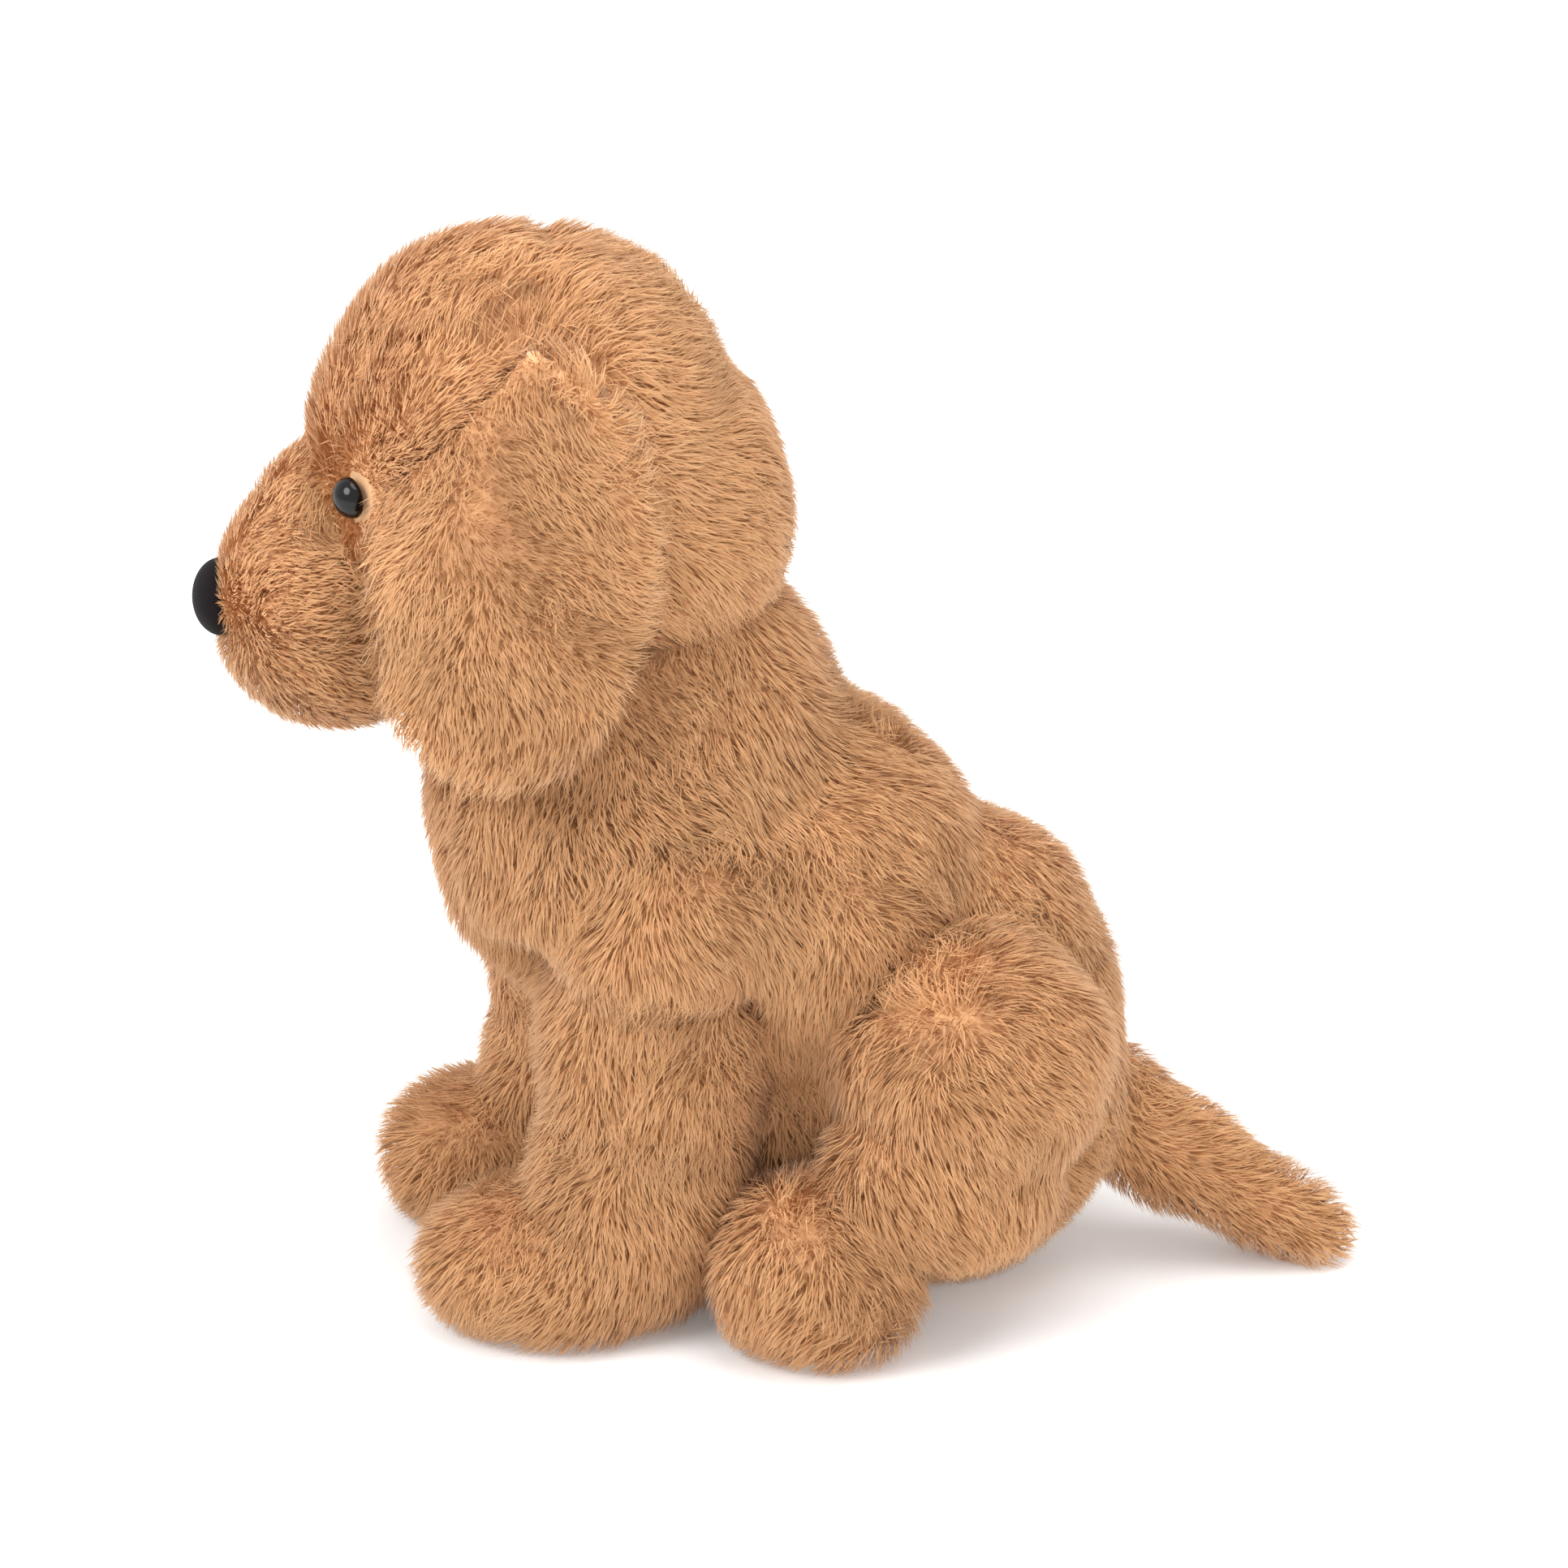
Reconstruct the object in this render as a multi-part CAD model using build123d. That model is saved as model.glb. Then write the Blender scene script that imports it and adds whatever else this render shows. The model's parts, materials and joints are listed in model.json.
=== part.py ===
"""Plush dog, sitting: sewn skin panels over stuffing, with safety eyes and a padded nose.

Millimetres. +Z is up, the dog faces -Y and its left side is +X. The origin is on the floor,
under the middle of the whole toy. Every surface is at the middle of the pile, so the fabric's
backing lies a little inside it and the tips of the pile a little outside.
"""

import os
from math import atan2, cos, degrees, radians, sin, sqrt, tan

from build123d import *

# ---------------------------------------------------------------- cloth and clearances
skin = 4.0  # panel: the backing and half of the pile
fill_gap = 0.2  # stuffing to the inside of its skin
body_gap = 0.5  # between two parts that move against each other
trim_gap = 0.2  # round an eye, its stem, its washer and the nose

# ---------------------------------------------------------------- neck and head
neck_y = -50.0
neck_z = 212.0
neck_r = 65.0  # the round neck that the head turns and nods on
cranium_y = -90.0
cranium_z = 310.0
head_half_width = 72.0
cranium_half_length = 72.0
cranium_half_height = 79.0
brow_y = -100.0
brow_z = 325.0
brow_half_width = 38.0
brow_half_length = 56.0
brow_half_height = 63.0
bridge_y = -140.0  # between the forehead and the muzzle
bridge_z = 294.0
bridge_half_width = 28.0
bridge_half_length = 42.0
bridge_half_height = 24.0
nape_y = -50.0
nape_z = 290.0
nape_half_width = 58.0
nape_half_length = 48.0
nape_half_height = 60.0
muzzle_y = -156.0
muzzle_z = 261.0
muzzle_half_width = 45.0
muzzle_half_length = 43.0
muzzle_half_height = 42.0
head_seam_y = -84.0  # seam over the head, from ear to ear
gusset_width = 54.0  # strip from the nose to the head seam
chin_seam_z = 256.0

# ---------------------------------------------------------------- eyes and nose
eye_diameter = 14.5
eye_height = 6.0
eye_spacing = 80.0
eye_z = 311.0
eye_toe_out = 35.0  # degrees from straight ahead
stem_diameter = 4.0
stem_length = 13.0
washer_diameter = 15.0
washer_thickness = 1.5
nose_width = 29.0
nose_height = 27.0
nose_depth = 20.0
nose_out = 7.5  # how far the nose stands out of the muzzle
nose_cloth = 1.2

# ---------------------------------------------------------------- ears
ear_thickness = 11.0
ear_gap = 0.6
ear_hug_y = -92.0  # the egg that the ears hang round: its middle and its half sizes
ear_hug_z = 270.0
ear_hug_half_width = 77.0
ear_hug_half_length = 78.0
ear_hug_half_height = 144.0
ear_root_top = (-88.0, 366.0)  # Y and Z of the two ends of the sewn edge
ear_root_front = (-139.0, 314.0)
ear_length = 92.0  # square to the sewn edge
ear_front_reach = 44.0  # the front edge, beyond the end of the sewn edge
ear_front_drop = 66.0  # how far down it is the furthest forward
ear_shoulder_reach = 26.0  # the same edge nearer the top
ear_shoulder_drop = 28.0
ear_tip_reach = 28.0
ear_back_length = 72.0  # square to the sewn edge, at the back of the ear
ear_back_inset = 18.0
ear_back_bulge = 4.0
ear_back_reach = 30.0

# ---------------------------------------------------------------- torso
chest_y = -56.0
chest_z = 178.0
chest_half_width = 72.0
chest_half_length = 66.0
chest_half_height = 68.0
back_y = 3.0
back_z = 150.0
back_half_width = 70.0
back_half_length = 66.0
back_half_height = 67.0
belly_z = 88.0
belly_half_width = 56.0
belly_half_length = 62.0
belly_half_height = 66.0
rump_y = 58.0
rump_z = 84.0
rump_half_width = 66.0
rump_half_length = 62.0
rump_half_height = 88.0
chest_panel_width = 60.0
chest_panel_y = -62.0
flank_seam_y = 2.0  # seam behind the shoulder
seat_seam_z = 30.0
belly_seam_y = 42.0
belly_top_z = 124.0

# ---------------------------------------------------------------- forelegs
shoulder_x = 50.0
shoulder_y = -45.0
shoulder_z = 160.0
shoulder_r = 38.0
foreleg_x = 46.0
foreleg_inner_x = 20.0  # flat inner side, beside the chest
foreleg_half_width = 33.0
foreleg_half_depth = 36.0
foreleg_upper_z = 102.0
foreleg_upper_half_height = 60.0
foreleg_lower_z = 51.0
foreleg_lower_half_height = 52.0
foreleg_lean = 11.0  # paw end of the leg, forward of the shoulder
paw_reach = 28.0  # paw centre, forward of the leg
paw_half_width = 34.0
paw_half_length = 47.0
paw_half_height = 27.0
right_paw_advance = 15.0  # the right forepaw stands further forward
foreleg_swing = 16.0  # degrees forward
swing_margin = 24.0  # the chest is cut away this much further than the swing
shoulder_wall = 4.0  # between the top of the shoulder and the underside of the neck

# ---------------------------------------------------------------- hind legs
hip_x = 56.0
hip_y = 62.0
hip_z = 103.0
haunch_r = 46.0
foot_x = 76.0
foot_inner_x = 44.0
foot_y = 6.0
foot_half_width = 29.0
foot_half_length = 36.0
foot_half_height = 34.0
shank_x = 72.0
shank_y = 50.0
shank_z = 66.0
shank_half_width = 30.0
shank_half_length = 40.0
shank_half_height = 34.0
hind_leg_splay = 15.0  # degrees outward
foot_lift = 3.0  # how deep the round foot is flattened by the floor

# ---------------------------------------------------------------- tail
tail_root = (0.0, 117.0, 57.0)
tail_bend = (7.0, 150.0, 36.0)
tail_end = (17.0, 193.5, 11.0)
tail_root_r = 18.0
tail_bend_r = 16.5
tail_end_r = 11.0
tail_wag = 20.0  # degrees each way that the pocket leaves room for; the joint stops at 18
tail_pocket_depth = 30.0
tail_pocket_spare = 3.0  # degrees that the pocket opens wider than the wag

far = 400.0  # larger than the toy

os.makedirs("parts", exist_ok=True)


def ellipsoid(centre, radii, inset=0.0):
    """An egg-shaped lump, made smaller all over by the inset."""
    return Pos(*centre) * scale(Sphere(1.0), by=tuple(r - inset for r in radii))


def ball(centre, radius):
    return Pos(*centre) * Sphere(radius)


def lumps(shapes, inset=0.0):
    """Several ellipsoids joined into one body."""
    joined = Part()
    for centre, radii in shapes:
        joined += ellipsoid(centre, radii, inset)
    return joined


def block(x=(-far, far), y=(-far, far), z=(-far, far)):
    """A box between two limits on each axis."""
    size = [high - low for low, high in (x, y, z)]
    middle = [(high + low) / 2 for low, high in (x, y, z)]
    return Pos(*middle) * Box(*size)


def other_side(solid):
    return mirror(solid, about=Plane.YZ)


def write(name, solid):
    export_step(solid, f"parts/{name}.step")


def write_pair(name, solid):
    """A piece on the left and its mirror image on the right."""
    write(name.format("left"), solid)
    write(name.format("right"), other_side(solid))


# ================================================================ head
neck_pivot = (0.0, neck_y, neck_z)
neck_floor_z = shoulder_z + shoulder_r + shoulder_wall
head_shapes = [
    ((0, cranium_y, cranium_z), (head_half_width, cranium_half_length, cranium_half_height)),
    ((0, brow_y, brow_z), (brow_half_width, brow_half_length, brow_half_height)),
    ((0, bridge_y, bridge_z), (bridge_half_width, bridge_half_length, bridge_half_height)),
    ((0, nape_y, nape_z), (nape_half_width, nape_half_length, nape_half_height)),
    ((0, muzzle_y, muzzle_z), (muzzle_half_width, muzzle_half_length, muzzle_half_height)),
]
neck_hollow = ball(neck_pivot, neck_r + body_gap)


def eye_plane():
    """Where the left eye's flat back lies: on the cranium, facing outward."""
    x = eye_spacing / 2
    share = 1 - (x / head_half_width) ** 2 - ((eye_z - cranium_z) / cranium_half_height) ** 2
    y = cranium_y - cranium_half_length * sqrt(share)
    facing = (sin(radians(eye_toe_out)), -cos(radians(eye_toe_out)), 0.0)
    return Plane(origin=(x, y, eye_z), z_dir=facing)


def eye(clearance=0.0):
    """A domed button on a stem."""
    radius = eye_diameter / 2 + clearance
    dome = scale(Sphere(1.0), by=(radius, radius, eye_height + clearance))
    dome = dome & block(z=(-clearance, far))
    stem_r = stem_diameter / 2 + clearance
    stem = Pos(0, 0, -stem_length / 2) * Cylinder(stem_r, stem_length + 2 * clearance)
    return eye_plane() * (dome + stem)


def eye_washer(clearance=0.0):
    """The ring pressed onto the stem behind the skin."""
    ring = Cylinder(washer_diameter / 2 + clearance, washer_thickness + 2 * clearance)
    if not clearance:
        ring -= Cylinder(stem_diameter / 2 + trim_gap, far)
    return eye_plane() * Pos(0, 0, -washer_depth) * ring


washer_depth = skin + 4 * trim_gap + eye_diameter / 4 + washer_thickness / 2
nose_centre = (0.0, muzzle_y - muzzle_half_length + nose_depth / 2 - nose_out, muzzle_z + 1.0)
nose_radii = (nose_width / 2, nose_depth / 2, nose_height / 2)

nose_pocket = ellipsoid(nose_centre, nose_radii, -trim_gap)
eye_pocket = eye(trim_gap) + eye_washer(trim_gap)
head_pockets = [neck_hollow, nose_pocket, eye_pocket, other_side(eye_pocket)]

head_outer = lumps(head_shapes)
head_shell = head_outer - lumps(head_shapes, skin)
head_stuffing = lumps(head_shapes, skin + fill_gap)
for pocket in head_pockets:
    head_shell -= pocket
    head_stuffing -= pocket

front = (-far, head_seam_y)
above_chin = (chin_seam_z, far)
gusset_half = gusset_width / 2
write("head_gusset", head_shell & block((-gusset_half, gusset_half), front, above_chin))
write_pair("face_{}_panel", head_shell & block((gusset_half, far), front, above_chin))
write("chin_panel", head_shell & block(y=front, z=(-far, chin_seam_z)))
write_pair("head_back_{}_panel", head_shell & block(x=(0, far), y=(head_seam_y, far)))
write("head_stuffing", head_stuffing)

write_pair("eye_{}", eye())
write_pair("eye_washer_{}", eye_washer())

nose_filling = ellipsoid(nose_centre, nose_radii, nose_cloth + trim_gap)
write("nose_cover", ellipsoid(nose_centre, nose_radii) - ellipsoid(nose_centre, nose_radii, nose_cloth))
write("nose_filling", nose_filling)

# ================================================================ neck
neck_outer = ball(neck_pivot, neck_r) & block(z=(neck_floor_z, far))
neck_inner = ball(neck_pivot, neck_r - skin) & block(z=(neck_floor_z + skin, far))
neck_core = ball(neck_pivot, neck_r - skin - fill_gap) & block(z=(neck_floor_z + skin + fill_gap, far))
write("neck_skin", neck_outer - neck_inner)
write("neck_stuffing", neck_core)

# ================================================================ ears
ear_hug = (ear_hug_half_width, ear_hug_half_length, ear_hug_half_height)
ear_hug_centre = (0.0, ear_hug_y, ear_hug_z)


def ear_layer(inner, outer):
    """A sheet that hugs the cheek, between two distances from it."""
    wrap = ellipsoid(ear_hug_centre, ear_hug, -outer) - ellipsoid(ear_hug_centre, ear_hug, -inner)
    return wrap & ear_outline()


def ear_outline():
    """The leaf seen from the side, pushed through the head's left half."""
    (top_y, top_z), (front_y, front_z) = ear_root_top, ear_root_front
    root = sqrt((top_y - front_y) ** 2 + (top_z - front_z) ** 2)
    along = ((front_y - top_y) / root, (front_z - top_z) / root)
    down = (-along[1], along[0])

    def at(a, d):
        return (top_y + a * along[0] + d * down[0], top_z + a * along[1] + d * down[1])

    with BuildSketch(Plane.YZ) as leaf:
        with BuildLine():
            Line(at(0, 0), at(root, 0))
            Spline(
                at(root, 0),
                at(root + ear_shoulder_reach, ear_shoulder_drop),
                at(root + ear_front_reach, ear_front_drop),
                at(root + ear_tip_reach, ear_length),
                at(root - ear_back_inset / 2, ear_length),
                at(root / 2 - ear_back_inset / 2, ear_back_length),
                at(-ear_back_bulge, ear_back_reach),
                at(0, 0),
            )
        make_face()
    return extrude(leaf.sketch, far)


ear_middle = ear_gap + ear_thickness / 2
write_pair("ear_{}_outer", ear_layer(ear_middle, ear_gap + ear_thickness))
write_pair("ear_{}_lining", ear_layer(ear_gap, ear_middle))

# ================================================================ torso
torso_shapes = [
    ((0, chest_y, chest_z), (chest_half_width, chest_half_length, chest_half_height)),
    ((0, back_y, back_z), (back_half_width, back_half_length, back_half_height)),
    ((0, 0, belly_z), (belly_half_width, belly_half_length, belly_half_height)),
    ((0, rump_y, rump_z), (rump_half_width, rump_half_length, rump_half_height)),
]


def foreleg_room():
    """The space beside the chest that the left foreleg swings in."""
    inner = foreleg_inner_x - body_gap
    depth = far - inner
    radius = shoulder_r + body_gap
    lean = radians(foreleg_swing + swing_margin)
    front_y = shoulder_y - radius * cos(lean)
    front_z = shoulder_z + radius * sin(lean)
    low_y = front_y - far * sin(lean)
    low_z = front_z - far * cos(lean)
    with BuildSketch(Plane.YZ) as sweep:
        with BuildLine():
            Polyline(
                (shoulder_y, shoulder_z),
                (shoulder_y + radius, shoulder_z),
                (shoulder_y + radius, low_z),
                (low_y, low_z),
                (front_y, front_z),
                close=True,
            )
        make_face()
    hub = Pos(inner + depth / 2, shoulder_y, shoulder_z) * Rot(0, 90, 0) * Cylinder(radius, depth)
    return hub + Pos(inner, 0, 0) * extrude(sweep.sketch, depth)


def hind_leg_room():
    """The socket and the space that the left hind leg splays from."""
    inner = foot_inner_x - body_gap
    slope = tan(radians(hind_leg_splay))
    hinge_x = hip_x - (hip_x - foot_inner_x) / cos(radians(hind_leg_splay)) - body_gap
    with BuildSketch(Plane.XY) as plan:
        with BuildLine():
            Polyline(
                (inner, -far),
                (inner, hip_y - 2 * (inner - hinge_x) / slope),
                (hinge_x, hip_y),
                (hinge_x - far * slope, hip_y + far),
                (far, hip_y + far),
                (far, -far),
                close=True,
            )
        make_face()
    front_y = foot_y - foot_half_length - body_gap
    lower = extrude(plan.sketch, shank_z + shank_half_height + body_gap) & block(y=(front_y, far))
    return lower + ball(hip, haunch_r + body_gap)


def tail_pocket():
    """A flared hole that the root of the tail turns in."""
    mouth = tail_root_r / cos(radians(tail_wag)) + body_gap
    flare = tail_pocket_depth * tan(radians(tail_wag + tail_pocket_spare))
    run = Vector(*tail_bend) - Vector(*tail_root)
    cone = Pos(0, 0, tail_pocket_depth / 2) * Cone(mouth, mouth + flare, tail_pocket_depth)
    return ball(tail_root, tail_root_r + body_gap) + Plane(origin=tail_root, z_dir=run) * cone


hip = (hip_x, hip_y, hip_z)
rooms = [
    neck_hollow & block(z=(neck_floor_z - body_gap, far)),
    foreleg_room(),
    other_side(foreleg_room()),
    hind_leg_room(),
    other_side(hind_leg_room()),
    tail_pocket(),
]

torso_outer = lumps(torso_shapes) & block(z=(0, far))
torso_shell = torso_outer - (lumps(torso_shapes, skin) & block(z=(skin, far)))
torso_stuffing = lumps(torso_shapes, skin + fill_gap) & block(z=(skin + fill_gap, far))
for room in rooms:
    torso_shell -= room
    torso_stuffing -= room

panel_half = chest_panel_width / 2
above_seat = torso_shell & block(z=(seat_seam_z, far))
chest = block((-panel_half, panel_half), (-far, chest_panel_y))
belly = block((-foot_inner_x, foot_inner_x), (chest_panel_y, belly_seam_y), (-far, belly_top_z))
sides = above_seat - chest - belly
write("torso_chest_panel", above_seat & chest)
write("torso_belly_panel", above_seat & belly)
write_pair("torso_{}_shoulder_panel", sides & block((0, far), (-far, flank_seam_y)))
write_pair("torso_{}_flank_panel", sides & block((0, far), (flank_seam_y, far)))
write("torso_seat_panel", torso_shell & block(z=(0, seat_seam_z)))
write("torso_stuffing", torso_stuffing)


# ================================================================ limbs
def write_limb(name, build, seam_x, place):
    """Outer and inner panels, a flat sole and the stuffing of one limb."""
    sides = (build(0) - (build(skin) & block(z=(skin, far)))) & block(z=(skin, far))
    write(f"{name}_outer_panel", place(sides & block(x=(seam_x, far))))
    write(f"{name}_inner_panel", place(sides & block(x=(-far, seam_x))))
    write(f"{name}_sole", place(build(0) & block(z=(0, skin))))
    write(f"{name}_stuffing", place(build(skin + fill_gap) & block(z=(skin + fill_gap, far))))


def foreleg(inset, advance):
    """The left foreleg: a round shoulder, a leg and a paw, flat beside the chest."""
    leg_y = shoulder_y - foreleg_lean
    middle_y = (shoulder_y + leg_y) / 2 - advance
    shapes = [
        ((shoulder_x, shoulder_y, shoulder_z), (shoulder_r, shoulder_r, shoulder_r)),
        (
            (foreleg_x, middle_y, foreleg_upper_z),
            (foreleg_half_width, foreleg_half_depth, foreleg_upper_half_height),
        ),
        (
            (foreleg_x, leg_y - advance, foreleg_lower_z),
            (foreleg_half_width, foreleg_half_depth, foreleg_lower_half_height),
        ),
        (
            (foreleg_x, leg_y - paw_reach - advance, paw_half_height - foot_lift),
            (paw_half_width, paw_half_length, paw_half_height),
        ),
    ]
    return lumps(shapes, inset) & block(x=(foreleg_inner_x, far))


def hind_leg(inset):
    """The left hind leg: a round haunch and a long foot that lies on the floor."""
    low = lumps(
        [
            (
                (foot_x, foot_y, foot_half_height - foot_lift),
                (foot_half_width, foot_half_length, foot_half_height),
            ),
            ((shank_x, shank_y, shank_z), (shank_half_width, shank_half_length, shank_half_height)),
        ],
        inset,
    )
    return (low & block(x=(foot_inner_x, far))) + ball(hip, haunch_r - inset)


write_limb("foreleg_left", lambda inset: foreleg(inset, 0.0), foreleg_x, lambda s: s)
write_limb("foreleg_right", lambda inset: foreleg(inset, right_paw_advance), foreleg_x, other_side)
write_limb("hind_leg_left", hind_leg, foot_x, lambda s: s)
write_limb("hind_leg_right", hind_leg, foot_x, other_side)


# ================================================================ tail
def tail_lump(inset=0.0):
    """A round tail with one bend, that thins to its end."""
    stations = [(tail_root, tail_root_r), (tail_bend, tail_bend_r), (tail_end, tail_end_r)]
    tail = Part()
    for centre, radius in stations:
        tail += ball(centre, radius - inset)
    for (start, start_r), (end, end_r) in zip(stations, stations[1:]):
        run = Vector(*end) - Vector(*start)
        cone = Pos(0, 0, run.length / 2) * Cone(start_r - inset, end_r - inset, run.length)
        tail += Plane(origin=start, z_dir=run) * cone
    return tail


drop = degrees(atan2(tail_root[2] - tail_end[2], tail_end[1] - tail_root[1]))
above_tail = Pos(*tail_root) * Rot(-drop, 0, 0) * block(z=(0, far))
tail_shell = tail_lump() - tail_lump(skin)
write("tail_upper_panel", tail_shell & above_tail)
write("tail_lower_panel", tail_shell - above_tail)
write("tail_stuffing", tail_lump(skin + fill_gap))
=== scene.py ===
"""The plush dog's looks: sewn long-pile skins, ears, eyes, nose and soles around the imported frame.

Metres, in the frame's own axes: +Z up, the dog faces -Y and its left side is +X.
"""
import json
import math

import bpy
import numpy as np
import openvdb
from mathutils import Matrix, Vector


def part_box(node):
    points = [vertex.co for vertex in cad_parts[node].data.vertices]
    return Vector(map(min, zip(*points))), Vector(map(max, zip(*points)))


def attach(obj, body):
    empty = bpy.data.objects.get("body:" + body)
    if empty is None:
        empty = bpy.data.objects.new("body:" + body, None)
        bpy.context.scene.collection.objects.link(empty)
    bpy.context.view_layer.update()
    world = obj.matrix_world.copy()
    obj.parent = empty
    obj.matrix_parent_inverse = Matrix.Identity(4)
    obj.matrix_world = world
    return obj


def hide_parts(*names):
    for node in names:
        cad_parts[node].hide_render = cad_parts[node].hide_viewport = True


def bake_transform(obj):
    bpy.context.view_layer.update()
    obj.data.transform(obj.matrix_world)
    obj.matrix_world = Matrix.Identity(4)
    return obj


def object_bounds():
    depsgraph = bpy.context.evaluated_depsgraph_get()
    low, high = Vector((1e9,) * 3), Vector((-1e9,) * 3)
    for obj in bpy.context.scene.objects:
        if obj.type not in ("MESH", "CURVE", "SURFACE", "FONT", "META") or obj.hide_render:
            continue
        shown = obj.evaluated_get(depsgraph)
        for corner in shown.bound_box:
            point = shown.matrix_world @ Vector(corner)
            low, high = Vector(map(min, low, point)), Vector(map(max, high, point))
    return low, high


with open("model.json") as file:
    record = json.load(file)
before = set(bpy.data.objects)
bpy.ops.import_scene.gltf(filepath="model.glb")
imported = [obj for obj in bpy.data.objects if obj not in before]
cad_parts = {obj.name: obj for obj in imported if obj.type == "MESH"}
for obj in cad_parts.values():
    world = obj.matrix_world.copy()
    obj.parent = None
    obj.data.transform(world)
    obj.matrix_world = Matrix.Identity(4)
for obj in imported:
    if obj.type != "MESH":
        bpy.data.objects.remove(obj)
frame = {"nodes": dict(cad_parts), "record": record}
cad_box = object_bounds()

MM = 0.001
random = np.random.default_rng(7)

# ---------------------------------------------------------------- sizes
VOXEL = 3.0 * MM  # grid that the skins are shaped on
BAND = 12  # voxels each side of a surface
MARGIN = 24.0 * MM
OVERLAP = 10.0 * MM  # how far one limb's skin runs on under its neighbour
SEAM_DEPTH = 3.2 * MM
SEAM_WIDTH = 5.0 * MM
BODY_SWELL = 1.6 * MM  # how far each skin stands out from its stuffing
HEAD_SWELL = 2.6 * MM
TAIL_SWELL = 1.5 * MM

PILE = 13.0 * MM  # length of a tuft on the body
TUFT_WIDTH = 0.58 * MM
FACE_TUFT_WIDTH = 0.7 * MM  # the face's shorter pile has to hide its backing
TUFT_POINTS = 5  # two at the root, two at the knee and the tip
TUFTS_PER_PIECE = 62000  # keeps every pile mesh under 200,000 triangles
CLUMP = 2.6 * MM
CLUMPS_IN_LOCK = 3.1
FLOOR_CLEARANCE = 0.3 * MM


# ================================================================ distance fields
low, high = (np.array(c) for c in cad_box)
origin = low - MARGIN
shape = tuple(int(n) for n in np.ceil((high - low + 2 * MARGIN) / VOXEL) + 1)
AXES = [origin[k] + VOXEL * np.arange(shape[k]) for k in range(3)]
X, Y, Z = np.meshgrid(*AXES, indexing="ij", sparse=True)


def node_field(*nodes):
    """Signed distance to CAD nodes, negative inside, on the shared grid."""
    field = np.full(shape, BAND * VOXEL, np.float32)
    for node in nodes:
        mesh = frame["nodes"][node].data
        mesh.calc_loop_triangles()
        points = np.empty(len(mesh.vertices) * 3, np.float32)
        mesh.vertices.foreach_get("co", points)
        corners = np.empty(len(mesh.loop_triangles) * 3, np.int32)
        mesh.loop_triangles.foreach_get("vertices", corners)
        grid = openvdb.FloatGrid.createLevelSetFromPolygons(
            (points.reshape(-1, 3) - origin).astype(np.float32),
            triangles=corners.reshape(-1, 3).astype(np.uint32),
            transform=openvdb.createLinearTransform(VOXEL),
            halfWidth=BAND,
        )
        values = np.empty(shape, np.float32)
        grid.copyToArray(values)
        field = np.minimum(field, values)
    return field


def join(a, b, radius):
    """The union of two fields, with a fillet of about that radius where they meet."""
    share = np.maximum(radius - np.abs(a - b), 0) / radius
    return np.minimum(a, b) - share * share * radius / 4


def blur(field, rounds):
    """A field with its bumps evened out."""
    for _ in range(rounds):
        for axis in range(3):
            before, after = np.roll(field, 1, axis), np.roll(field, -1, axis)
            field = 0.25 * before + 0.5 * field + 0.25 * after
    return field


def lumpy(field, size, depth, seed):
    """A field with soft uneven hollows and swellings, as loose stuffing leaves."""
    waves = 7
    draw = np.random.default_rng(seed)
    total = np.zeros(shape, np.float32)
    for _ in range(waves):
        a, b, c = draw.normal(size=3) / size
        total += np.sin(a * X + b * Y + c * Z + draw.uniform(0, 2 * math.pi))
    return field + depth * total / math.sqrt(waves)


def groove(field, gap, where=True):
    """A field pulled in along a sewn seam; gap is the distance to it."""
    return field + SEAM_DEPTH * np.exp(-((gap / SEAM_WIDTH) ** 2)) * where


def surface(field, level=0.0):
    """Vertices and faces of a field's surface."""
    grid = openvdb.FloatGrid(BAND * VOXEL)
    grid.copyFromArray(field.astype(np.float32))
    grid.transform = openvdb.createLinearTransform(VOXEL)
    points, quads = grid.convertToQuads(level)
    return points + origin, quads


def sample(field, points):
    """A field's value at each point."""
    at = (points - origin) / VOXEL
    base = np.clip(np.floor(at).astype(int), 0, np.array(shape) - 2)
    part = np.clip(at - base, 0, 1)
    value = 0
    for corner in range(8):
        step = np.array([(corner >> k) & 1 for k in range(3)])
        weight = np.prod(np.where(step, part, 1 - part), axis=1)
        i, j, k = (base + step).T
        value = value + weight * field[i, j, k]
    return value


def normals_of(field, points):
    """Outward direction of a field at each point."""
    steps = VOXEL * np.eye(3)
    slope = [sample(field, points + step) - sample(field, points - step) for step in steps]
    return unit(np.stack(slope, axis=1))


def unit(v):
    """Each row at length one."""
    return v / (np.linalg.norm(v, axis=1, keepdims=True) + 1e-12)


# ================================================================ meshes
def new_object(name, mesh, material):
    piece = bpy.data.objects.new(name, mesh)
    bpy.context.scene.collection.objects.link(piece)
    mesh.materials.append(material)
    return piece


def mesh_from(name, points, faces):
    """A mesh from arrays: faces all have the same number of corners."""
    mesh = bpy.data.meshes.new(name)
    count, corners = faces.shape
    mesh.vertices.add(len(points))
    mesh.vertices.foreach_set("co", points.astype(np.float32).ravel())
    mesh.loops.add(count * corners)
    mesh.loops.foreach_set("vertex_index", faces.astype(np.int32).ravel())
    mesh.polygons.add(count)
    mesh.polygons.foreach_set("loop_start", np.arange(0, count * corners, corners, dtype=np.int32))
    mesh.polygons.foreach_set("use_smooth", np.ones(count, bool))
    mesh.update(calc_edges=True)
    return mesh


# ================================================================ tufts
def swirl(points, size, seed):
    """A slow random vector at each point, which turns over about the given distance."""
    waves = 6
    draw = np.random.default_rng(seed)
    total = np.zeros_like(points)
    for _ in range(waves):
        wave = draw.normal(size=(3, 3)) / size
        phase = draw.uniform(0, 2 * math.pi, 3)
        total += np.sin(points @ wave + phase)
    return total / math.sqrt(waves)


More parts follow.
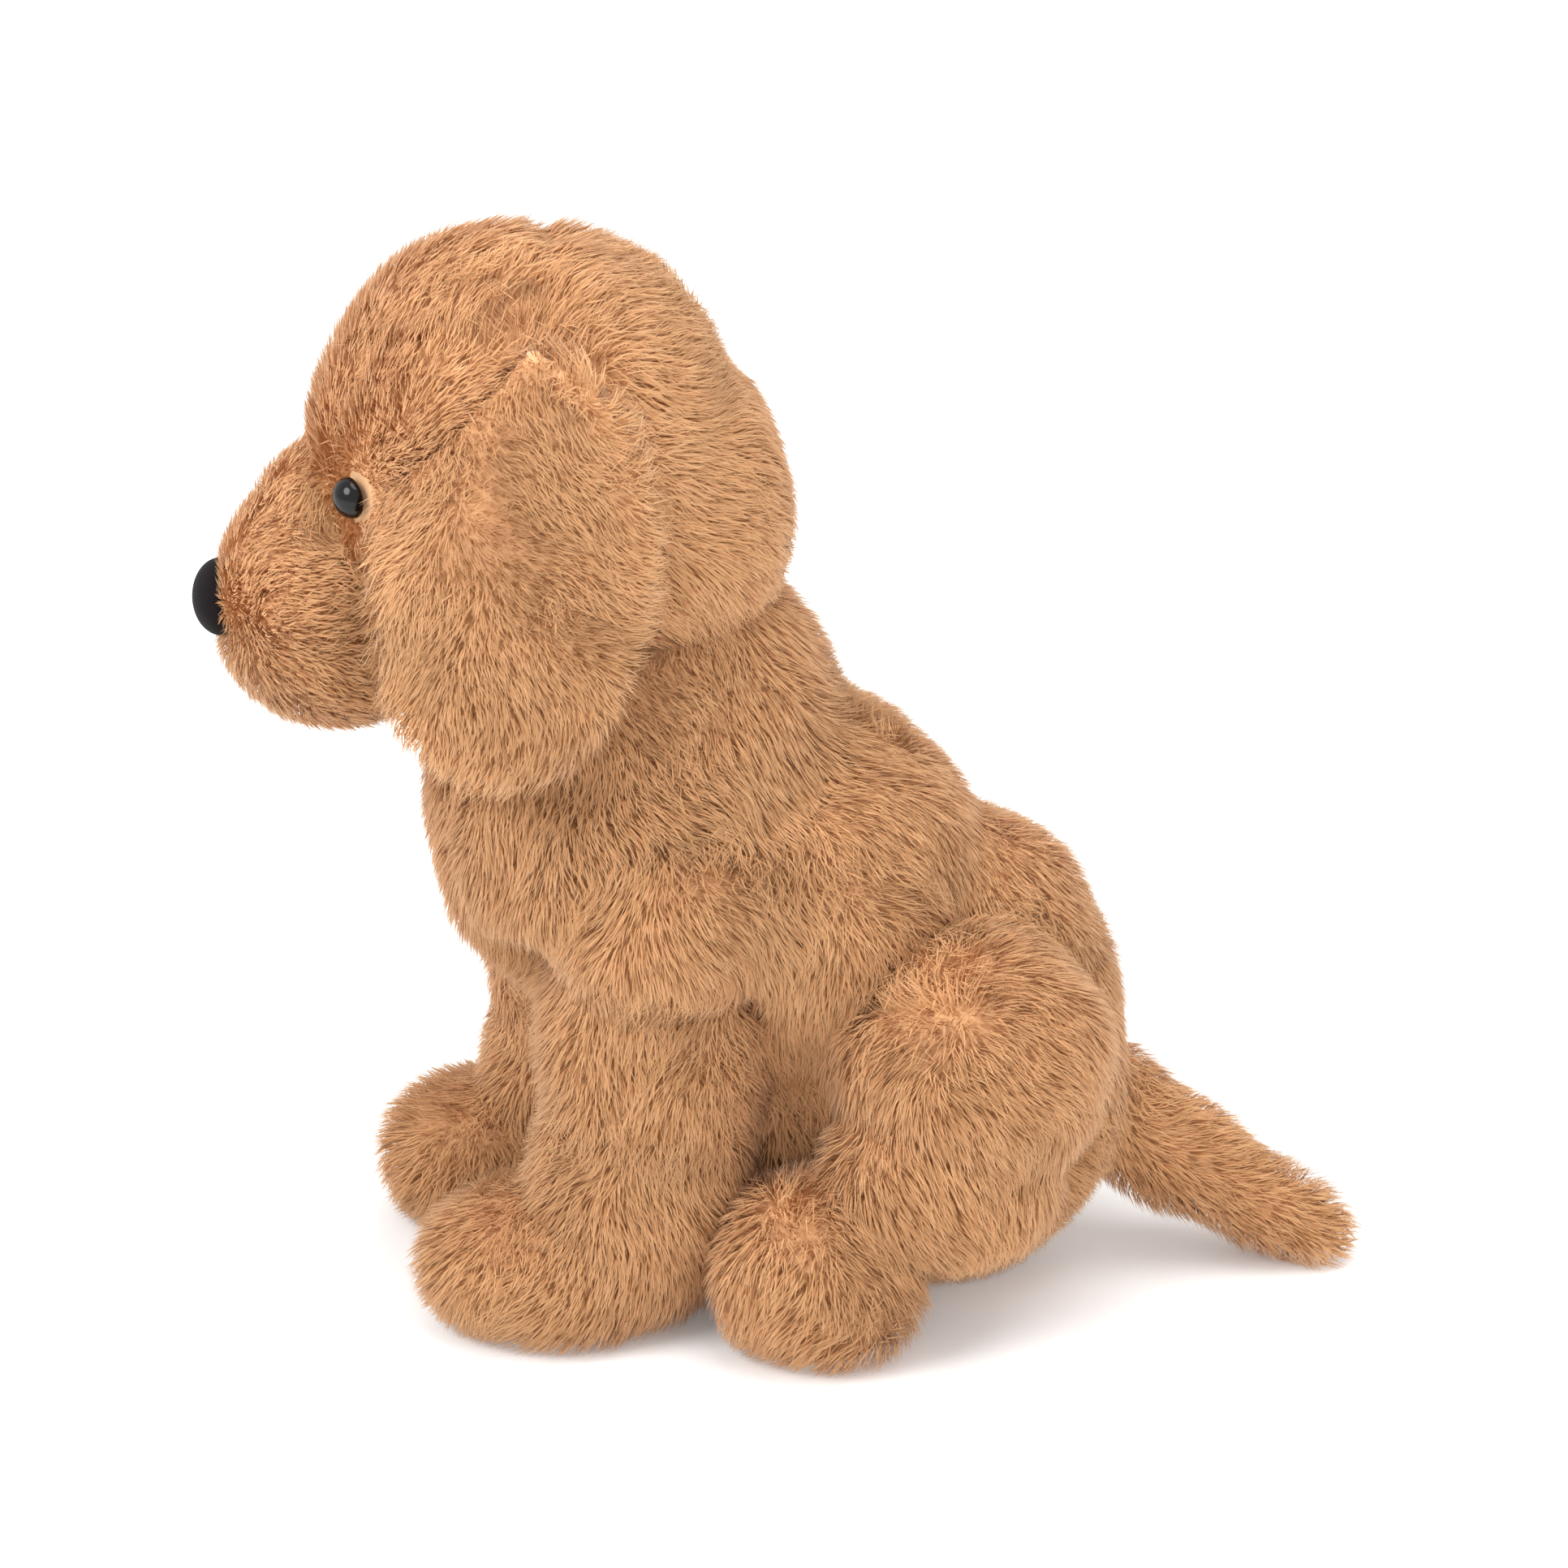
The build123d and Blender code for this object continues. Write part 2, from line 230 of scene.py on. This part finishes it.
HASH = (73856093, 19349663, 83492791)  # primes that turn a cell's numbers into a random-looking one
SPREAD = 2654435761
NUMBER_SPREAD = 40503
LEVELS = 65536


def clump_points(points, normals, size, seed):
    """For each point, the middle of the clump it belongs to, level with it on the skin."""
    cell = np.floor(points / size).astype(int)
    best = np.full(len(points), np.inf)
    middle = points.copy()
    number = np.zeros(len(points))
    for offset in np.ndindex(3, 3, 3):
        near = cell + np.array(offset) - 1
        key = near[:, 0] * HASH[0] ^ near[:, 1] * HASH[1] ^ near[:, 2] * HASH[2] ^ seed * SPREAD
        jitter = np.stack([((key >> s) * SPREAD % LEVELS) / LEVELS for s in (0, 5, 9)], axis=1)
        spot = (near + jitter) * size
        away = spot - points
        flat = away - normals * np.sum(away * normals, axis=1, keepdims=True)
        gap = np.sum(away * away, axis=1)
        closer = gap < best
        best = np.where(closer, gap, best)
        middle = np.where(closer[:, None], points + flat, middle)
        number = np.where(closer, (key * NUMBER_SPREAD % LEVELS) / LEVELS, number)
    return middle, number


def scatter(points, faces, spacing, draw):
    """Random roots on a surface, one for each spacing squared of its area."""
    a, b, c = (points[faces[:, k]] for k in range(3))
    triangles = [(a, b, c)]
    if faces.shape[1] == 4:
        triangles.append((a, c, points[faces[:, 3]]))
    a, b, c = (np.concatenate(part) for part in zip(*triangles))
    area = np.linalg.norm(np.cross(b - a, c - a), axis=1) / 2
    count = int(area.sum() / spacing**2)
    chosen = np.searchsorted(np.cumsum(area), draw.uniform(0, area.sum(), count))
    chosen = np.clip(chosen, 0, len(a) - 1)
    u, v = draw.uniform(size=(2, count, 1))
    over = u + v > 1
    u, v = np.where(over, 1 - u, u), np.where(over, 1 - v, v)
    return a[chosen] + u * (b - a)[chosen] + v * (c - a)[chosen]


def tufts(roots, normals, flow, length, draw, lean=0.75, width=TUFT_WIDTH):
    """One bent ribbon for each root, as (points, faces, tint).

    It is brushed along flow, sways with its neighbours, and is pulled towards the middle of its
    clump and of its lock, which is several clumps wide.
    """
    count = len(roots)
    flow = flow - normals * np.sum(flow * normals, axis=1, keepdims=True)
    side = unit(np.cross(normals, flow))
    sway = swirl(roots, 9 * MM, 3) + 0.8 * swirl(roots, 24 * MM, 4)
    lay = unit(1.3 * flow + 0.6 * sway + 0.3 * draw.normal(size=(count, 3)))
    lay = unit(lay - 0.85 * normals * np.sum(lay * normals, axis=1, keepdims=True))
    lean = lean * (1 + 0.25 * np.clip(swirl(roots, 16 * MM, 5)[:, :1], -1, 1))
    length = np.reshape(length, (-1, 1)) * draw.uniform(0.72, 1.12, (count, 1))
    middle, number = clump_points(roots, normals, CLUMP, 11)
    lock, lock_number = clump_points(roots, normals, CLUMPS_IN_LOCK * CLUMP, 12)
    pull = 0.42 * (middle - roots) + 0.14 * (lock - roots)
    knee = roots + length * 0.5 * unit(normals + 0.55 * lean * lay) + 0.45 * pull
    tip = knee + length * 0.5 * unit(normals * 0.55 + 1.35 * lean * lay) + 0.55 * pull
    roll = draw.uniform(-0.9, 0.9, (count, 1))
    across = unit(side * np.cos(roll) + normals * np.sin(roll) * 0.8)
    half = width / 2 * draw.uniform(0.7, 1.3, (count, 1))
    half = across * half
    points = np.stack([roots - half, roots + half, knee - half, knee + half, tip], axis=1)
    facing = np.cross(points[:, 1] - points[:, 0], points[:, 2] - points[:, 0])
    flip = np.sum(facing * normals, axis=1) < 0
    points[flip] = points[flip][:, [1, 0, 3, 2, 4]]
    start = TUFT_POINTS * np.arange(count)[:, None]
    faces = (start[:, :, None] + np.array([[0, 1, 3], [0, 3, 2], [2, 3, 4]])[None]).reshape(-1, 3)
    tint = 0.55 * number + 0.25 * lock_number + 0.2 * draw.uniform(size=count)
    return points.reshape(-1, 3), faces, tint


def pile_mesh(name, points, faces, tint, shade_normals):
    """The ribbons as a mesh, with what its material reads: tint and how far along the tuft.

    They are shaded with the normals of the skin they grow on, so the pile reads as one surface.
    """
    points = points.copy()
    points[:, 2] = np.maximum(points[:, 2], FLOOR_CLEARANCE)
    mesh = mesh_from(name, points, faces)
    along = np.tile(np.array([0.0, 0.0, 0.55, 0.55, 1.0], np.float32), len(tint))
    each = np.repeat(tint.astype(np.float32), TUFT_POINTS)
    for label, values in (("tint", each), ("along", along)):
        attribute = mesh.attributes.new(label, "FLOAT", "POINT")
        attribute.data.foreach_set("value", values)
    shade_normals = np.repeat(shade_normals, TUFT_POINTS, axis=0).astype(np.float32)
    attribute = mesh.attributes.new("custom_normal", "FLOAT_VECTOR", "POINT")
    attribute.data.foreach_set("vector", shade_normals.ravel())
    corners = np.empty(len(mesh.loops), np.int32)
    mesh.loops.foreach_get("vertex_index", corners)
    layer = mesh.uv_layers.new(name="OFBake")
    layer.data.foreach_set("uv", np.stack([each, along], axis=1)[corners].ravel())
    return mesh


# ================================================================ materials
THROUGH = 0.38  # share of the light that comes through a fibre
WHITE = (1.0, 1.0, 1.0, 1.0)


def linear(red, green, blue):
    """A colour given as 0-255 screen values, for a shader."""
    return tuple(((v / 255 + 0.055) / 1.055) ** 2.4 for v in (red, green, blue)) + (1.0,)


def new_material(name):
    material = bpy.data.materials.new(name)
    material.use_nodes = True
    nodes = material.node_tree.nodes
    return material, nodes, material.node_tree.links, nodes["Principled BSDF"]


def principled(material):
    """The sockets of a material's main shader."""
    return material.node_tree.nodes["Principled BSDF"].inputs


def ramp(nodes, stops):
    """A colour ramp with those (place, colour) stops."""
    node = nodes.new("ShaderNodeValToRGB")
    elements = node.color_ramp.elements
    while len(elements) < len(stops):
        elements.new(0.5)
    for element, (place, colour) in zip(elements, stops):
        element.position = place
        element.color = colour
    return node


def attribute(nodes, name):
    node = nodes.new("ShaderNodeAttribute")
    node.attribute_name = name
    return node


def mix(nodes, links, kind, amount, a, b):
    """Two colours mixed; amount, a and b are sockets or values."""
    node = nodes.new("ShaderNodeMix")
    node.data_type = "RGBA"
    node.blend_type = kind
    for socket, value in ((node.inputs[0], amount), (node.inputs[6], a), (node.inputs[7], b)):
        if hasattr(value, "is_output"):
            links.new(value, socket)
        else:
            socket.default_value = value
    return node.outputs[2]


def pile_material(name, root, middle, tip, low_tint, high_tint):
    """Fibres: deeper at the root, pale at the tip, and each lock a little different."""
    material, nodes, links, shader = new_material(name)
    colours = ramp(nodes, [(0.0, root), (0.45, middle), (1.0, tip)])
    links.new(attribute(nodes, "along").outputs["Fac"], colours.inputs["Fac"])
    shades = ramp(nodes, [(0.0, low_tint), (1.0, high_tint)])
    links.new(attribute(nodes, "tint").outputs["Fac"], shades.inputs["Fac"])
    both = mix(nodes, links, "MULTIPLY", 1.0, colours.outputs["Color"], shades.outputs["Color"])
    links.new(both, shader.inputs["Base Color"])
    shader.inputs["Roughness"].default_value = 0.78
    shader.inputs["Specular IOR Level"].default_value = 0.25
    shader.inputs["Sheen Weight"].default_value = 0.25
    shader.inputs["Sheen Roughness"].default_value = 0.5
    through = nodes.new("ShaderNodeBsdfTranslucent")
    links.new(both, through.inputs["Color"])
    fibre = nodes.new("ShaderNodeMixShader")
    fibre.inputs[0].default_value = THROUGH
    links.new(shader.outputs["BSDF"], fibre.inputs[1])
    links.new(through.outputs["BSDF"], fibre.inputs[2])
    links.new(fibre.outputs["Shader"], nodes["Material Output"].inputs["Surface"])
    return material


def cloth_material(name, dark, light, scale, roughness=0.9, sheen=0.3, bump=0.3):
    """A short-napped or knitted cloth with fine grain."""
    material, nodes, links, shader = new_material(name)
    place = nodes.new("ShaderNodeTexCoord")
    noise = nodes.new("ShaderNodeTexNoise")
    noise.inputs["Scale"].default_value = scale
    noise.inputs["Detail"].default_value = 6.0
    links.new(place.outputs["Object"], noise.inputs["Vector"])
    colours = ramp(nodes, [(0.3, dark), (0.7, light)])
    links.new(noise.outputs["Fac"], colours.inputs["Fac"])
    links.new(colours.outputs["Color"], shader.inputs["Base Color"])
    relief = nodes.new("ShaderNodeBump")
    relief.inputs["Strength"].default_value = bump
    relief.inputs["Distance"].default_value = 0.4 * MM
    links.new(noise.outputs["Fac"], relief.inputs["Height"])
    links.new(relief.outputs["Normal"], shader.inputs["Normal"])
    shader.inputs["Roughness"].default_value = roughness
    shader.inputs["Sheen Weight"].default_value = sheen
    return material


FUR = pile_material(
    "plush_pile",
    linear(228, 176, 124),
    linear(231, 178, 125),
    linear(246, 206, 158),
    linear(223, 208, 194),
    linear(255, 255, 255),
)
BACKING = cloth_material("plush_backing", linear(222, 172, 124), linear(230, 182, 134), 900.0)
VELOUR = cloth_material(
    "nose_velour", linear(15, 11, 12), linear(28, 23, 24), 2600.0, sheen=0.04, bump=0.5
)
principled(VELOUR)["Specular IOR Level"].default_value = 0.1
SUEDE = cloth_material(
    "sole_suede", linear(206, 166, 138), linear(222, 184, 156), 1800.0, roughness=0.85, bump=0.25
)
WASHER = cloth_material(
    "washer_plastic",
    linear(225, 225, 222),
    linear(235, 235, 232),
    300.0,
    roughness=0.5,
    sheen=0.0,
    bump=0.05,
)
EYE = cloth_material(
    "eye_plastic", linear(6, 4, 4), linear(12, 8, 7), 220.0, roughness=0.12, sheen=0.0, bump=0.0
)
principled(EYE)["Specular IOR Level"].default_value = 0.35


def finish_node(node, material):
    """Puts a material on a CAD node that stays."""
    mesh = frame["nodes"][node].data
    mesh.materials.clear()
    mesh.materials.append(material)


# ================================================================ body shapes
LEGS = ["foreleg_left", "foreleg_right", "hind_leg_left", "hind_leg_right"]
BODY_PARTS = ["torso", "neck", *LEGS, "tail"]  # all that the joined skin covers
own = {part: node_field(f"{part}_stuffing") for part in [*BODY_PARTS, "head"]}
FILLET = {"neck": 26 * MM, "foreleg": 22 * MM, "hind_leg": 9 * MM, "tail": 8 * MM}

SEAMS = {  # panels whose edges are sewn seams
    name: np.array(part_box(name))
    for name in ("head_gusset", "torso_chest_panel", "torso_left_flank_panel")
}
gusset_box, chest_box, flank_box = SEAMS.values()
gusset_half, head_seam, chin_seam = gusset_box[1, 0], gusset_box[1, 1], gusset_box[0, 2]
chest_half, chest_seam, flank_seam = chest_box[1, 0], chest_box[1, 1], flank_box[0, 1]


def torso_seams(field):
    """The seams each side of the chest, and the ones where the flanks begin."""
    field = groove(field, np.abs(X) - chest_half, Y < chest_seam)
    return groove(field, Y - flank_seam, np.abs(X) > chest_half / 2)


def head_seams(field):
    """The gusset's two seams, the chin's, the one up the back of the head and the crosswise one."""
    in_front = (Y < head_seam) & (Z > chin_seam)
    field = groove(field, np.abs(X) - gusset_half, in_front)
    field = groove(field, Z - chin_seam, Y < head_seam - 20 * MM)
    field = groove(field, X, Y > head_seam)
    return groove(field, Y - head_seam)


body = torso_seams(own["torso"])
for part in ["neck", *LEGS]:
    kind = part.replace("_left", "").replace("_right", "")
    body = join(body, own[part], FILLET[kind])
body = join(blur(body, 3), own["tail"] - TAIL_SWELL, FILLET["tail"])  # too thin to be blurred
body = blur(lumpy(body, size=15 * MM, depth=1.1 * MM, seed=21), 1) - BODY_SWELL
head = head_seams(blur(own["head"], 3))
head = blur(lumpy(head, size=17 * MM, depth=0.7 * MM, seed=22), 1) - HEAD_SWELL
fields = {part: body for part in BODY_PARTS}
fields["head"] = head

SIDES = {"left": 1.0, "right": -1.0}
eyes = {side: np.mean(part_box(f"eye_{side}"), axis=0) for side in SIDES}
nose = np.mean(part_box("nose_cover"), axis=0)
neck_box = np.array(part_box("neck_skin"))
neck_radius = (neck_box[1, 0] - neck_box[0, 0]) / 2
pivot = np.array([0.0, neck_box[:, 1].mean(), neck_box[1, 2] - neck_radius])

# Least on the face where an ear's two layers meet, so the leaf is drawn round that face.
leaves = {
    side: np.maximum(node_field(f"ear_{side}_outer"), node_field(f"ear_{side}_lining"))
    for side in SIDES
}


def nearest_part(points, parts):
    """Which body each point on the joined skin belongs to."""
    away = np.stack([sample(own[part], points) for part in parts])
    return np.array(parts)[np.argmin(away, axis=0)]


def skin_piece(part):
    """The sewn backing of one body: it runs on a little way under its neighbours."""
    field = fields[part]
    if part != "head":
        others = np.min([own[o] for o in BODY_PARTS if o != part], axis=0)
        field = np.maximum(field, (own[part] - others) / 2 - OVERLAP)
    points, quads = surface(field)
    return new_object(f"{part}_backing", mesh_from(f"{part}_backing", points, quads), BACKING)


# ================================================================ pile
DOWN = np.array([0.0, 0.0, -1.0])
HALF_HEAD = 0.07
MUZZLE = 0.05  # how far from the nose the pile is brushed straight back

# The pile's length as a share of PILE, by distance in metres.
FROM_NOSE = ([0.012, 0.03, 0.09, 0.16], [0.6, 0.76, 0.88, 1.0])
FROM_EYE = ([0.009, 0.022], [0.28, 1.0])
FROM_EAR = ([0.004, 0.014], [0.45, 1.0])

SOLE_HEIGHT = 8 * MM  # a skin this low that faces down stands on the floor
SOLE_FACING = -0.72
NECK_GAP = 12 * MM  # the head is bare this close to the neck
HEAD_IN_BODY = -14 * MM  # depths at which one body's pile is left out of the other
BODY_IN_HEAD = -12 * MM
EYE_BARE = 8.5 * MM
NOSE_BARE = [0.0125, 0.02, 0.0115]  # half sizes of the bare patch that the nose covers
NECK_TOP = 50 * MM  # above the pivot


def flow_at(part, points):
    """The way the pile is brushed."""
    if part == "head":
        behind = np.clip((points[:, 1:2] + HALF_HEAD) / HALF_HEAD, 0, 1)
        cheek = np.clip(np.abs(points[:, :1]) / HALF_HEAD, 0, 1) ** 2
        near_nose = np.clip(1.6 - np.linalg.norm(points - nose, axis=1) / MUZZLE, 0, 1)
        away = points - nose
        away[:, 0] *= 1 - 0.75 * near_nose
        return unit(away) + DOWN * (0.9 * behind + 0.35 * cheek)
    if part == "tail":
        return np.tile([0.1, 0.85, -0.5], (len(points), 1))
    if part.startswith("hind"):
        forward = np.clip((0.06 - points[:, 2:]) / 0.05, 0, 1)
        along_foot = np.array([0.0, -0.9, 0.0]) * forward
        backward = np.array([0.0, 0.3, 0.0]) * (1 - forward)
        return DOWN * (1 - 0.5 * forward) + along_foot + backward
    if part.startswith("foreleg"):
        forward = np.clip((0.05 - points[:, 2:]) / 0.04, 0, 1)
        return DOWN + np.array([0.0, -0.7, 0.0]) * forward
    return np.tile([0.0, 0.25, -1.0], (len(points), 1))


def pile_length(part, points):
    """Short round the nose and eyes and under the ears, longer on the body."""
    if part != "head":
        return np.full(len(points), 0.95 if part == "tail" else 1.0) * PILE
    from_nose = np.linalg.norm(points - nose, axis=1)
    length = PILE * np.interp(from_nose, *FROM_NOSE)
    for eye in eyes.values():
        length *= np.interp(np.linalg.norm(points - eye, axis=1), *FROM_EYE)
    under_ear = np.min([sample(leaf, points) for leaf in leaves.values()], axis=0)
    length *= np.interp(under_ear, *FROM_EAR)
    return length


def keep_roots(part, points, normals):
    """False where there is no pile: under the soles, behind eyes and nose, and deep in a joint."""
    keep = ~((points[:, 2] < SOLE_HEIGHT) & (normals[:, 2] < SOLE_FACING))
    if part == "head":
        outward = np.sum(normals * (points - pivot), axis=1)
        keep &= ~((outward < 0) & (sample(own["neck"], points) < NECK_GAP))
        keep &= sample(body, points) > HEAD_IN_BODY
        for eye in eyes.values():
            keep &= np.linalg.norm(points - eye, axis=1) > EYE_BARE
        keep &= np.linalg.norm((points - nose) / NOSE_BARE, axis=1) > 1.0
    else:
        keep &= sample(head, points) > BODY_IN_HEAD
        keep &= ~((points[:, 2] > pivot[2] + NECK_TOP) & (part == "neck"))
    return keep


def pile_pieces(part, field, roots, **options):
    """The pile of one body, in pieces small enough to store."""
    normals = normals_of(field, roots)
    keep = keep_roots(part, roots, normals)
    roots, normals = roots[keep], normals[keep]
    made = []
    flow = flow_at(part, roots)
    points, faces, tint = tufts(roots, normals, flow, pile_length(part, roots), random, **options)
    order = np.argsort(roots[:, 2], kind="stable")
    count = max(1, math.ceil(len(roots) / TUFTS_PER_PIECE))
    for number, chosen in enumerate(np.array_split(order, count)):
        name = f"{part}_pile_{number + 1}"
        points_here = points.reshape(-1, TUFT_POINTS, 3)[chosen].reshape(-1, 3)
        faces_here = faces.reshape(len(roots), -1)[: len(chosen)].reshape(-1, 3)
        mesh = pile_mesh(name, points_here, faces_here, tint[chosen], normals[chosen])
        made.append(new_object(name, mesh, FUR))
    print(part, "tufts", len(roots))
    return made


SPACING = 1.0 * MM
pieces = {part: [skin_piece(part)] for part in fields}

roots = scatter(*surface(body), SPACING, random)
labels = nearest_part(roots, BODY_PARTS)
for part in BODY_PARTS:
    pieces[part] += pile_pieces(part, body, roots[labels == part])

roots = scatter(*surface(head), SPACING, random)
pieces["head"] += pile_pieces("head", head, roots, lean=1.0, width=FACE_TUFT_WIDTH)


# ================================================================ ears
LEAF_HALF = 1.8 * MM  # half the thickness of an ear without its pile
TUCK = 8 * MM  # how far the sewn edge is drawn in against the head
TUCK_REACH = 46 * MM  # how far down the ear that is felt
STAND_OFF = 5 * MM  # how far the rest hangs clear of the cheek
RIM = 9 * MM  # width of the fringe, whose pile is longer and painted paler as a highlight where the rim catches the light

ear_joints = {}
for joint in frame["record"]["behaviour"]["joints"]:
    if joint["name"].startswith("ear"):
        axis = np.array(joint["axis"])
        down = np.cross(axis, [1.0, 0.0, 0.0])
        down *= -math.copysign(1 / np.linalg.norm(down), down[2])
        ear_joints[joint["child"]] = (np.array(joint["pos_m"]), down)


def tucked(points, side):
    """Ear points, with the sewn edge drawn in against the head and the rest standing off it."""
    hinge, down = ear_joints[f"ear_{side}"]
    depth = (points - hinge) @ down
    share = np.clip(1 - depth / TUCK_REACH, 0, 1) ** 2
    moved = points.copy()
    moved[:, 0] -= SIDES[side] * (TUCK * share - STAND_OFF * (1 - share))
    return moved


def ear(side):
    """A leaf of two layers, with pile on both faces and a longer fringe, painted paler towards the
    rim as a highlight.
    """
    field = leaves[side]
    points, quads = surface(field, LEAF_HALF)
    field = blur(field, 1)
    name = f"ear_{side}"
    hinge, down = ear_joints[name]
    leaf_mesh = mesh_from(f"{name}_leaf", tucked(points, side), quads)
    leaf = new_object(f"{name}_leaf", leaf_mesh, BACKING)
    roots = scatter(points, quads, SPACING, random)
    normals = normals_of(field, roots)
    out = normals[:, 0] * SIDES[side]
    middle = points.mean(axis=0)
    rim = unit((roots - middle) * [0.0, 1.0, 1.0])
    edge = np.clip(1.25 - np.abs(out) * 1.4, 0, 1)  # 1 where the skin turns round the rim
    beyond = sample(field, roots + RIM * rim) - LEAF_HALF
    edge = np.maximum(edge, np.clip(beyond / RIM, 0, 1))[:, None]
    edge *= np.clip((roots - hinge) @ down / RIM, 0, 1)[:, None]
    flow = np.array([0.0, 0.15, -1.0]) * (1 - edge) + rim * edge * 1.3
    length = PILE * (0.7 + 0.42 * edge[:, 0])
    points, faces, tint = tufts(roots, normals, flow, length, random)
    # Painted highlight: the tufts are paler towards the rim, where it catches the light, and a
    # little less pale over the rest of the ear.
    tint = np.clip(tint * 0.85 + 0.5 * edge[:, 0], 0, 1)
    mesh = pile_mesh(f"{name}_pile", tucked(points, side), faces, tint, normals)
    fur = new_object(f"{name}_pile", mesh, FUR)
    print(name, "tufts", len(roots))
    return [leaf, fur]


for side in SIDES:
    pieces[f"ear_{side}"] = ear(side)

# ================================================================ riding and replacing
for part, made in pieces.items():
    for piece in made:
        if part.startswith("foreleg"):
            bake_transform(piece)
        elif part.startswith("ear"):
            hinge, down = ear_joints[part]
            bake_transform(piece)
        elif part == "neck":
            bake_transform(piece)
        else:
            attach(piece, part)

for part, nodes in frame["record"]["behaviour"]["bodies"].items():
    stays = ("eye", "nose_cover", "nose_filling")
    covered = [n for n in nodes if not n.startswith(stays) and not n.endswith("_sole")]
    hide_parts(*covered)

for node in frame["nodes"]:
    if node.startswith("eye_washer"):
        finish_node(node, WASHER)
    elif node.startswith("eye_"):
        finish_node(node, EYE)
    elif node.startswith("nose"):
        finish_node(node, VELOUR)
    elif node.endswith("_sole"):
        finish_node(node, SUEDE)


# ================================================================ studio
def area_light(name, place, target, size, watts):
    data = bpy.data.lights.new(name, "AREA")
    data.shape = "DISK"
    data.size = size
    data.energy = watts
    light = bpy.data.objects.new(name, data)
    bpy.context.scene.collection.objects.link(light)
    light.location = place
    light.rotation_euler = direction(place, target)


def direction(place, target):
    """Rotation that looks from one point to another."""
    return (Vector(target) - Vector(place)).to_track_quat("-Z", "Y").to_euler()


CENTRE = (0.0, 0.0, 0.186)
AZIMUTH, ELEVATION, DISTANCE = math.radians(86), math.radians(22), 2.0
LIGHTS = {  # place, target, size in metres, watts
    "key": ((1.0, -1.5, 1.6), (0, 0, 0.2), 1.3, 30),
    "top": ((0.2, 0.3, 2.3), (0, 0, 0.1), 1.8, 28),
    "fill": ((1.6, 1.5, 0.9), (0, 0, 0.2), 1.4, 12),
}
FLOOR_HALF = 12.0

eye_point = (
    DISTANCE * math.cos(ELEVATION) * math.sin(AZIMUTH),
    -DISTANCE * math.cos(ELEVATION) * math.cos(AZIMUTH),
    CENTRE[2] + DISTANCE * math.sin(ELEVATION),
)
camera_data = bpy.data.cameras.new("camera")
camera_data.lens = 129.2
camera_data.sensor_width = 36.0
camera = bpy.data.objects.new("camera", camera_data)
bpy.context.scene.collection.objects.link(camera)
camera.location = eye_point
camera.rotation_euler = direction(eye_point, CENTRE)
bpy.context.scene.camera = camera

for name, settings in LIGHTS.items():
    area_light(name, *settings)

floor_mesh = bpy.data.meshes.new("floor")
floor_corners = [(-1, -1), (1, -1), (1, 1), (-1, 1)]
floor_mesh.from_pydata(
    [(FLOOR_HALF * x, FLOOR_HALF * y, 0) for x, y in floor_corners], [], [(0, 1, 2, 3)]
)
paper = cloth_material("floor", linear(240, 240, 240), linear(243, 243, 243), 2.0)
principled(paper)["Emission Color"].default_value = WHITE
principled(paper)["Emission Strength"].default_value = 0.12
floor = new_object("floor", floor_mesh, paper)

world = bpy.data.worlds.new("world")
world.use_nodes = True
world.node_tree.nodes["Background"].inputs["Color"].default_value = WHITE
world.node_tree.nodes["Background"].inputs["Strength"].default_value = 1.0
bpy.context.scene.world = world
bpy.context.scene.view_settings.view_transform = "Standard"
